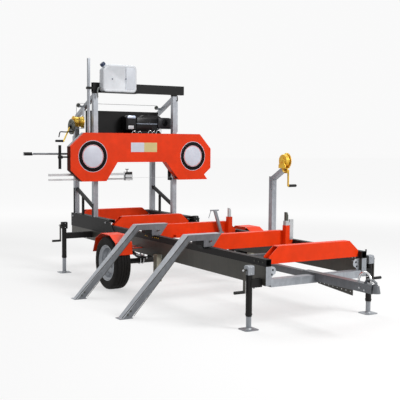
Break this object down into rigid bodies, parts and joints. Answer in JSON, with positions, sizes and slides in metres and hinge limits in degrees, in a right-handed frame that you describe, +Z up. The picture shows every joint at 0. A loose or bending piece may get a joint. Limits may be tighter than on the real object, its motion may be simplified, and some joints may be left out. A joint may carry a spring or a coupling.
{
  "type": "portable sawmill",
  "caption": "Trailer band sawmill: long bed with bunks, jacks and ramps, and a housed band saw head that lifts on a rolling carriage.",
  "frame": {"origin": "on the ground, under the middle of the whole machine's extent", "axes": "+X across the bed towards the log winch, +Y along the bed away from the hitch, +Z up"},
  "size_m": [2.6242, 5.2006, 2.66],
  "materials": {
    "orange_paint": "gloss",
    "galvanised": "satin",
    "black_paint": "satin",
    "yellow_paint": "gloss",
    "tyre": "matte",
    "white_plastic": "satin",
    "steel": "satin",
    "engine": "satin",
    "belt": "matte"
  },
  "bodies": {
    "bed": {"left_beam": "galvanised", "right_beam": "galvanised", "left_rail": "black_paint", "right_rail": "black_paint", "bunk_1": "orange_paint", "bunk_2": "orange_paint", "bunk_3": "orange_paint", "bunk_4": "orange_paint", "bunk_5": "orange_paint", "front_cross_tube": "galvanised", "inner_drawbar": "galvanised", "axle": "black_paint", "left_mudguard": "orange_paint", "right_mudguard": "orange_paint", "front_ramp": "galvanised", "rear_ramp": "galvanised", "log_winch_post": "galvanised", "front_left_jack": "black_paint", "front_right_jack": "black_paint", "rear_left_jack": "black_paint", "rear_right_jack": "black_paint"},
    "drawbar": {"drawbar_sleeve": "galvanised"},
    "carriage": {"left_sole": "black_paint", "right_sole": "black_paint", "left_post_frame": "galvanised", "right_post_frame": "galvanised", "top_beam": "black_paint", "water_tank": "white_plastic", "lift_cable": "steel"},
    "head": {"head_frame": "black_paint", "front_cover": "orange_paint", "engine": "engine", "saw_blade": "steel", "drive_belt": "belt"},
    "left_road_wheel": {"left_road_wheel": "tyre"},
    "right_road_wheel": {"right_road_wheel": "tyre"},
    "log_winch_drum": {"log_winch_drum": "yellow_paint"},
    "log_winch_crank": {"log_winch_crank": "yellow_paint"},
    "front_log_stop": {"front_log_stop": "steel"},
    "rear_log_stop": {"rear_log_stop": "steel"},
    "log_clamp": {"log_clamp": "steel"},
    "lift_drum": {"lift_drum": "yellow_paint"},
    "lift_crank": {"lift_crank": "steel"},
    "drive_wheel": {"drive_wheel": "steel"},
    "idler_slide": {"idler_slide": "steel"},
    "idler_wheel": {"idler_wheel": "steel"},
    "tension_handle": {"tension_handle": "black_paint"},
    "guide_arm": {"guide_arm": "steel"},
    "front_left_jack_leg": {"front_left_jack_leg": "galvanised"},
    "front_left_jack_crank": {"front_left_jack_crank": "galvanised"},
    "left_front_roller": {"left_front_roller": "steel"},
    "front_right_jack_leg": {"front_right_jack_leg": "galvanised"},
    "front_right_jack_crank": {"front_right_jack_crank": "galvanised"},
    "right_front_roller": {"right_front_roller": "steel"},
    "rear_left_jack_leg": {"rear_left_jack_leg": "galvanised"},
    "rear_left_jack_crank": {"rear_left_jack_crank": "galvanised"},
    "left_rear_roller": {"left_rear_roller": "steel"},
    "rear_right_jack_leg": {"rear_right_jack_leg": "galvanised"},
    "rear_right_jack_crank": {"rear_right_jack_crank": "galvanised"},
    "right_rear_roller": {"right_rear_roller": "steel"}
  },
  "joints": [
    {"name": "carriage_travel", "type": "slide", "parent": "bed", "child": "carriage", "axis": [0, 1, 0], "range_m": [-0.8, 0.02]},
    {"name": "head_lift", "type": "slide", "parent": "carriage", "child": "head", "axis": [0, 0, 1], "range_m": [-0.38, 0.03]},
    {"name": "left_front_roller_spin", "type": "hinge", "parent": "carriage", "child": "left_front_roller", "pos_m": [-0.3489, 1.49525, 0.6493], "axis": [1, 0, 0], "range_deg": [-60, 1660]},
    {"name": "left_rear_roller_spin", "type": "hinge", "parent": "carriage", "child": "left_rear_roller", "pos_m": [-0.3489, 2.51525, 0.6493], "axis": [1, 0, 0], "range_deg": [-60, 1660]},
    {"name": "right_front_roller_spin", "type": "hinge", "parent": "carriage", "child": "right_front_roller", "pos_m": [0.7611, 1.49525, 0.6493], "axis": [1, 0, 0], "range_deg": [-60, 1660]},
    {"name": "right_rear_roller_spin", "type": "hinge", "parent": "carriage", "child": "right_rear_roller", "pos_m": [0.7611, 2.51525, 0.6493], "axis": [1, 0, 0], "range_deg": [-60, 1660]},
    {"name": "lift_drum_turn", "type": "hinge", "parent": "carriage", "child": "lift_drum", "pos_m": [-0.4539, 2.18525, 1.88], "axis": [1, 0, 0], "range_deg": [-60, 540]},
    {"name": "lift_crank_turn", "type": "hinge", "parent": "carriage", "child": "lift_crank", "pos_m": [-0.5539, 2.18525, 1.81655], "axis": [1, 0, 0], "range_deg": [-1500, 160]},
    {"name": "drive_spin", "type": "hinge", "parent": "head", "child": "drive_wheel", "pos_m": [0.9791, 1.79525, 1.44], "axis": [0, 1, 0], "continuous": true},
    {"name": "tension_travel", "type": "slide", "parent": "head", "child": "idler_slide", "axis": [1, 0, 0], "range_m": [0, 0.012]},
    {"name": "idler_spin", "type": "hinge", "parent": "idler_slide", "child": "idler_wheel", "pos_m": [-0.4509, 1.77925, 1.44], "axis": [0, 1, 0], "continuous": true},
    {"name": "tension_turn", "type": "hinge", "parent": "head", "child": "tension_handle", "pos_m": [-0.8519, 1.81495, 1.44], "axis": [1, 0, 0], "range_deg": [0, 360]},
    {"name": "guide_arm_travel", "type": "slide", "parent": "head", "child": "guide_arm", "axis": [1, 0, 0], "range_m": [-0.2, 0.3]},
    {"name": "left_wheel_spin", "type": "hinge", "parent": "bed", "child": "left_road_wheel", "pos_m": [-0.6939, 0.64025, 0.295], "axis": [1, 0, 0], "continuous": true},
    {"name": "front_left_jack_turn", "type": "hinge", "parent": "bed", "child": "front_left_jack_crank", "pos_m": [-0.5239, -1.72475, 0.5265], "axis": [1, 0, 0], "range_deg": [-1080, 1080]},
    {"name": "front_left_jack_travel", "type": "slide", "parent": "bed", "child": "front_left_jack_leg", "axis": [0, 0, 1], "range_m": [-0.1, 0.1]},
    {"name": "rear_left_jack_turn", "type": "hinge", "parent": "bed", "child": "rear_left_jack_crank", "pos_m": [-0.7739, 1.95525, 0.5915], "axis": [1, 0, 0], "range_deg": [-1080, 1080]},
    {"name": "rear_left_jack_travel", "type": "slide", "parent": "bed", "child": "rear_left_jack_leg", "axis": [0, 0, 1], "range_m": [-0.1, 0.1]},
    {"name": "right_wheel_spin", "type": "hinge", "parent": "bed", "child": "right_road_wheel", "pos_m": [1.1061, 0.64025, 0.295], "axis": [1, 0, 0], "continuous": true},
    {"name": "front_right_jack_turn", "type": "hinge", "parent": "bed", "child": "front_right_jack_crank", "pos_m": [0.9361, -1.72475, 0.5265], "axis": [1, 0, 0], "range_deg": [-1080, 1080]},
    {"name": "front_right_jack_travel", "type": "slide", "parent": "bed", "child": "front_right_jack_leg", "axis": [0, 0, 1], "range_m": [-0.1, 0.1]},
    {"name": "rear_right_jack_turn", "type": "hinge", "parent": "bed", "child": "rear_right_jack_crank", "pos_m": [1.1861, 1.95525, 0.5915], "axis": [1, 0, 0], "range_deg": [-1080, 1080]},
    {"name": "rear_right_jack_travel", "type": "slide", "parent": "bed", "child": "rear_right_jack_leg", "axis": [0, 0, 1], "range_m": [-0.1, 0.1]},
    {"name": "log_winch_turn", "type": "hinge", "parent": "bed", "child": "log_winch_drum", "pos_m": [0.8211, -0.46475, 1.44], "axis": [1, 0, 0], "continuous": true},
    {"name": "log_winch_crank_turn", "type": "hinge", "parent": "bed", "child": "log_winch_crank", "pos_m": [0.8561, -0.46475, 1.33455], "axis": [1, 0, 0], "continuous": true},
    {"name": "front_log_stop_travel", "type": "slide", "parent": "bed", "child": "front_log_stop", "axis": [0, 0, 1], "range_m": [0, 0.1]},
    {"name": "rear_log_stop_travel", "type": "slide", "parent": "bed", "child": "rear_log_stop", "axis": [0, 0, 1], "range_m": [-0.14, 0]},
    {"name": "log_clamp_travel", "type": "slide", "parent": "bed", "child": "log_clamp", "axis": [1, 0, 0], "range_m": [-0.5, 0.015]},
    {"name": "drawbar_travel", "type": "slide", "parent": "bed", "child": "drawbar", "axis": [0, 1, 0], "range_m": [-0.4, 0]}
  ],
  "couplings": [
    {"joint": "left_front_roller_spin", "follows": "carriage_travel", "rad_per_m": -35.714},
    {"joint": "left_rear_roller_spin", "follows": "carriage_travel", "rad_per_m": -35.714},
    {"joint": "right_front_roller_spin", "follows": "carriage_travel", "rad_per_m": -35.714},
    {"joint": "right_rear_roller_spin", "follows": "carriage_travel", "rad_per_m": -35.714},
    {"joint": "lift_drum_turn", "follows": "head_lift", "rad_per_m": -23.1},
    {"joint": "lift_crank_turn", "follows": "head_lift", "rad_per_m": 67.375},
    {"joint": "idler_spin", "follows": "drive_spin", "ratio": 1},
    {"joint": "tension_travel", "follows": "tension_turn", "m_per_rad": 0.0019},
    {"joint": "front_left_jack_travel", "follows": "front_left_jack_turn", "m_per_rad": 0.0053},
    {"joint": "rear_left_jack_travel", "follows": "rear_left_jack_turn", "m_per_rad": 0.0053},
    {"joint": "front_right_jack_travel", "follows": "front_right_jack_turn", "m_per_rad": 0.0053},
    {"joint": "rear_right_jack_travel", "follows": "rear_right_jack_turn", "m_per_rad": 0.0053},
    {"joint": "log_winch_crank_turn", "follows": "log_winch_turn", "ratio": -3.75}
  ]
}
